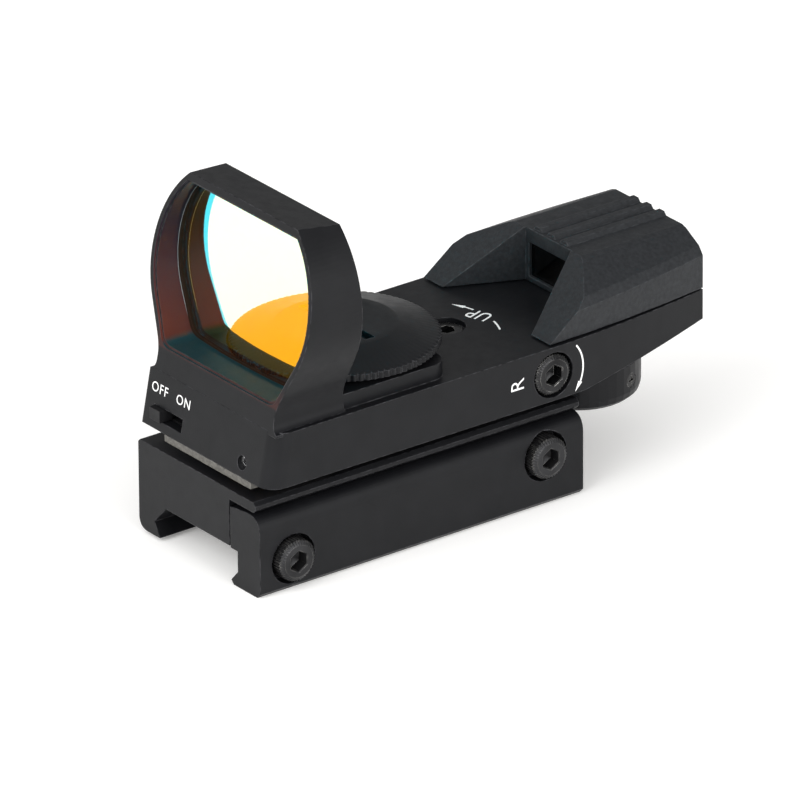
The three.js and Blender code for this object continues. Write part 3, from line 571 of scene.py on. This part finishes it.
def slot_cutter(place):
    """A bar along x with its two lower end edges rounded, as a coin slot's floor runs out at its ends."""
    work = bmesh.new()
    bmesh.ops.create_cube(work, size=1.0)
    size = Vector((2 * SLOT["reach"], 2 * SLOT["half"], 2 * SLOT["depth"])) * MM
    bmesh.ops.scale(work, vec=size, verts=work.verts)

    def lower_end_edge(edge):
        run = edge.verts[0].co - edge.verts[1].co
        return abs(run.x) < 1e-7 < abs(run.y) and edge.verts[0].co.z < 0

    ends = [edge for edge in work.edges if lower_end_edge(edge)]
    bmesh.ops.bevel(work, geom=ends, offset=SLOT["round"] * MM, segments=5, affect="EDGES")
    mesh = to_mesh(work, "slot_cutter", Matrix.Translation(place * MM))
    cutter = bpy.data.objects.new("slot_cutter", mesh)
    bpy.context.scene.collection.objects.link(cutter)
    return cutter


def apply_boolean(target, cutter):
    """Cuts one mesh out of another and leaves no modifier or cutter behind."""
    cut = target.modifiers.new("cut", "BOOLEAN")
    cut.operation = "DIFFERENCE"
    cut.solver = "EXACT"
    cut.object = cutter
    bpy.context.view_layer.update()
    evaluated = target.evaluated_get(bpy.context.evaluated_depsgraph_get())
    result = bpy.data.meshes.new_from_object(evaluated)
    target.modifiers.remove(cut)
    target.data = result
    bpy.data.objects.remove(cutter)


# ---- printed marks ----
def lay(name, work, matrix, into):
    """Extrudes a flat drawing by the ink's thickness, splits it finely and drapes it."""
    bmesh.ops.triangulate(work, faces=work.faces)

    def long_edges():
        return [e for e in work.edges if e.calc_length() > LONGEST_EDGE * MM]

    while long_edges():
        bmesh.ops.subdivide_edges(work, edges=long_edges(), cuts=1)
        bmesh.ops.triangulate(work, faces=[f for f in work.faces if len(f.verts) > 3])
    bottom = list(work.verts)
    extruded = bmesh.ops.extrude_face_region(work, geom=list(work.faces), use_keep_orig=True)
    top = [g for g in extruded["geom"] if isinstance(g, bmesh.types.BMVert)]
    into = Vector(into).normalized()
    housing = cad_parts["optic_housing"]
    work.transform(matrix)
    for verts, stand_off in ((bottom, -INK_DEPTH * MM), (top, INK * MM)):
        for vertex in verts:
            hit, place, _, _ = housing.ray_cast(vertex.co - into * 4 * MM, into)
            if hit:
                vertex.co += into * ((place - vertex.co).dot(into) - stand_off)
    bmesh.ops.recalc_face_normals(work, faces=work.faces)
    return piece(name, to_mesh(work, name), ink, "sight")


def text_mark(name, words, height, matrix, into, squeeze=1.0, weight=0.0):
    """Printed letters with the given cap height. squeeze narrows them and weight fattens their strokes."""
    curve = bpy.data.curves.new(name, "FONT")
    curve.body = words
    curve.size = height * MM / CAP_HEIGHT
    curve.align_x = "CENTER"
    curve.align_y = "CENTER"
    curve.offset = weight * MM
    curve.space_character = 1.12
    curve.resolution_u = 4
    temp = bpy.data.objects.new(name + "_outline", curve)
    bpy.context.scene.collection.objects.link(temp)
    bpy.context.view_layer.update()
    flat = bpy.data.meshes.new_from_object(temp.evaluated_get(bpy.context.evaluated_depsgraph_get()))
    bpy.data.objects.remove(temp)
    work = bmesh.new()
    work.from_mesh(flat)
    bmesh.ops.scale(work, vec=(squeeze, 1, 1), verts=work.verts)
    bmesh.ops.remove_doubles(work, verts=work.verts, dist=0.002 * MM)
    return lay(name, work, matrix, into)


def basis(right, up, origin):
    """A matrix from a flat drawing's x and y to two directions on the object, at origin in millimetres."""
    right = Vector(right).normalized()
    up = Vector(up).normalized()
    out = right.cross(up)
    made = Matrix((right, up, out)).transposed().to_4x4()
    made.translation = Vector(origin) * MM
    return made


def arc_arrow(name, radius, start, end, width, matrix, into, head=0.0, head_half=0.4):
    """A flat arc, in millimetres and degrees, with an arrowhead of the given length at its end."""
    work = bmesh.new()
    steps = 24

    def place(r, angle):
        return work.verts.new((r * math.cos(angle) * MM, r * math.sin(angle) * MM, 0))

    angles = [math.radians(start + (end - start) * i / steps) for i in range(steps + 1)]
    inner = [place(radius - width / 2, a) for a in angles]
    outer = [place(radius + width / 2, a) for a in angles]
    for i in range(steps):
        work.faces.new((inner[i], outer[i], outer[i + 1], inner[i + 1]))
    if head:
        tip = angles[-1] + math.copysign(head / radius, end - start)
        near = place(radius - head_half, angles[-1])
        far = place(radius + head_half, angles[-1])
        point = place(radius, tip)
        work.faces.new((near, inner[-1], point))
        work.faces.new((inner[-1], outer[-1], point))
        work.faces.new((outer[-1], far, point))
    return lay(name, work, matrix, into)


def front_face(x, z):
    """A place on the leaning front face, with the drawing's up running up the slope."""
    y = FRONT_Y + FRONT_LEAN * (z - SIGHT_BOTTOM)
    return basis((1, 0, 0), (0, FRONT_LEAN, 1), (x, y, z))


def markings():
    inwards, down, leftwards = (0, 1, 0), (0, 0, -1), (-1, 0, 0)
    text_mark("mark_off", "OFF", 1.65, front_face(-13.2, 18.3), inwards, 1.0)
    text_mark("mark_on", "ON", 1.65, front_face(-7.1, 18.3), inwards, 1.0)
    turn = math.radians(UP_MARK["turn"])
    reading = basis((-math.cos(turn), -math.sin(turn), 0), (math.sin(turn), -math.cos(turn), 0),
                    (*UP_MARK["text"], DECK_Z))
    text_mark("mark_up", "UP", 3.1, reading, down, 0.74)
    text_mark("mark_r", "R", 2.7, basis((0, 0, 1), (0, -1, 0), (SIDE_X, 17.7, 16.6)), leftwards, 1.0, -0.03)
    round_elevation = basis((1, 0, 0), (0, 1, 0), (UP_MARK["arc_x"], UP_MARK["arc_y"], DECK_Z))
    arc_arrow("mark_up_arrow", UP_MARK["arc_r"], 101, 109, 0.3, round_elevation, down, 2.3, 0.42)
    arc_arrow("mark_up_tail", UP_MARK["arc_r"], 77, 62.5, 0.3, round_elevation, down)
    low, high = corners("windage_screw")
    round_windage = basis((0, 1, 0), (0, 0, 1), (SIDE_X, (low.y + high.y) / 2, (low.z + high.z) / 2))
    arc_arrow("mark_right_arrow", WINDAGE_ARC_R, 40, -26, 0.28, round_windage, leftwards, 1.8, 0.42)


# ---- surroundings ----
def floor():
    work = bmesh.new()
    bmesh.ops.create_grid(work, x_segments=1, y_segments=1, size=6.0)
    data = to_mesh(work, "floor", Matrix.Translation((0, 0, FLOOR_Z * MM)))
    made = bpy.data.objects.new("floor", data)
    bpy.context.scene.collection.objects.link(made)
    material, tree = new_material("floor")
    matt = node(tree, "ShaderNodeBsdfDiffuse", Color=(*FLOOR_COLOUR, 1))
    glow = node(tree, "ShaderNodeEmission", Color=(1, 0.99, 0.97, 1), Strength=FLOOR_GLOW)
    show(tree, add_shaders(tree, matt, glow))
    data.materials.append(material)


def studio_world():
    """Even light, stronger from the camera's side and weak from behind the object."""
    world = bpy.data.worlds.new("studio")
    world.use_nodes = True
    tree = world.node_tree
    tree.nodes.clear()
    direction = tree.nodes.new("ShaderNodeTexCoord")
    bright_side = Vector(BRIGHT_SIDE).normalized()
    dot = vector_maths(tree, "DOT_PRODUCT", direction.outputs["Generated"], bright_side)
    sky = node(tree, "ShaderNodeBackground", Color=(1, 1, 1, 1))
    strength = spread(tree, dot.outputs["Value"], WORLD_DIM, WORLD_BRIGHT, -0.6, 0.8)
    tree.links.new(strength, sky.inputs["Strength"])
    tree.links.new(sky.outputs["Background"], tree.nodes.new("ShaderNodeOutputWorld").inputs["Surface"])
    bpy.context.scene.world = world


def soft_light(name, place, size, power, aim=(0, 0, 0.02)):
    light = bpy.data.lights.new(name, "AREA")
    light.shape = "DISK"
    light.size = size
    light.energy = power
    made = bpy.data.objects.new(name, light)
    made.location = place
    made.rotation_euler = (Vector(aim) - Vector(place)).to_track_quat("-Z", "Y").to_euler()
    bpy.context.scene.collection.objects.link(made)


def surroundings():
    floor()
    studio_world()
    soft_light("key", (0.15, -0.85, 0.55), 0.9, 5.5)
    soft_light("side", (0.9, 0.1, 0.3), 0.6, 4.5)


def camera():
    azimuth = math.radians(AZIMUTH)
    elevation = math.radians(ELEVATION)
    level = Vector((math.sin(azimuth), -math.cos(azimuth), 0))
    back = level * math.cos(elevation) + Vector((0, 0, math.sin(elevation)))
    aim = Vector(AIM) * MM
    made = bpy.data.objects.new("camera", bpy.data.cameras.new("camera"))
    made.data.lens = LENS
    made.data.sensor_width = 36.0
    made.data.clip_end = 50.0
    turn = (-back).to_track_quat("-Z", "Y").to_matrix().to_4x4()
    roll = Matrix.Rotation(math.radians(ROLL), 4, "Z")
    made.matrix_world = Matrix.Translation(aim + back * DISTANCE * MM) @ turn @ roll
    bpy.context.scene.collection.objects.link(made)
    bpy.context.scene.camera = made


# plain sRGB display: the default one greys white and washes out the lens coating
bpy.context.scene.view_settings.view_transform = "Standard"

dress_cad_nodes()
screws()
battery_cap()
markings()
surroundings()
camera()
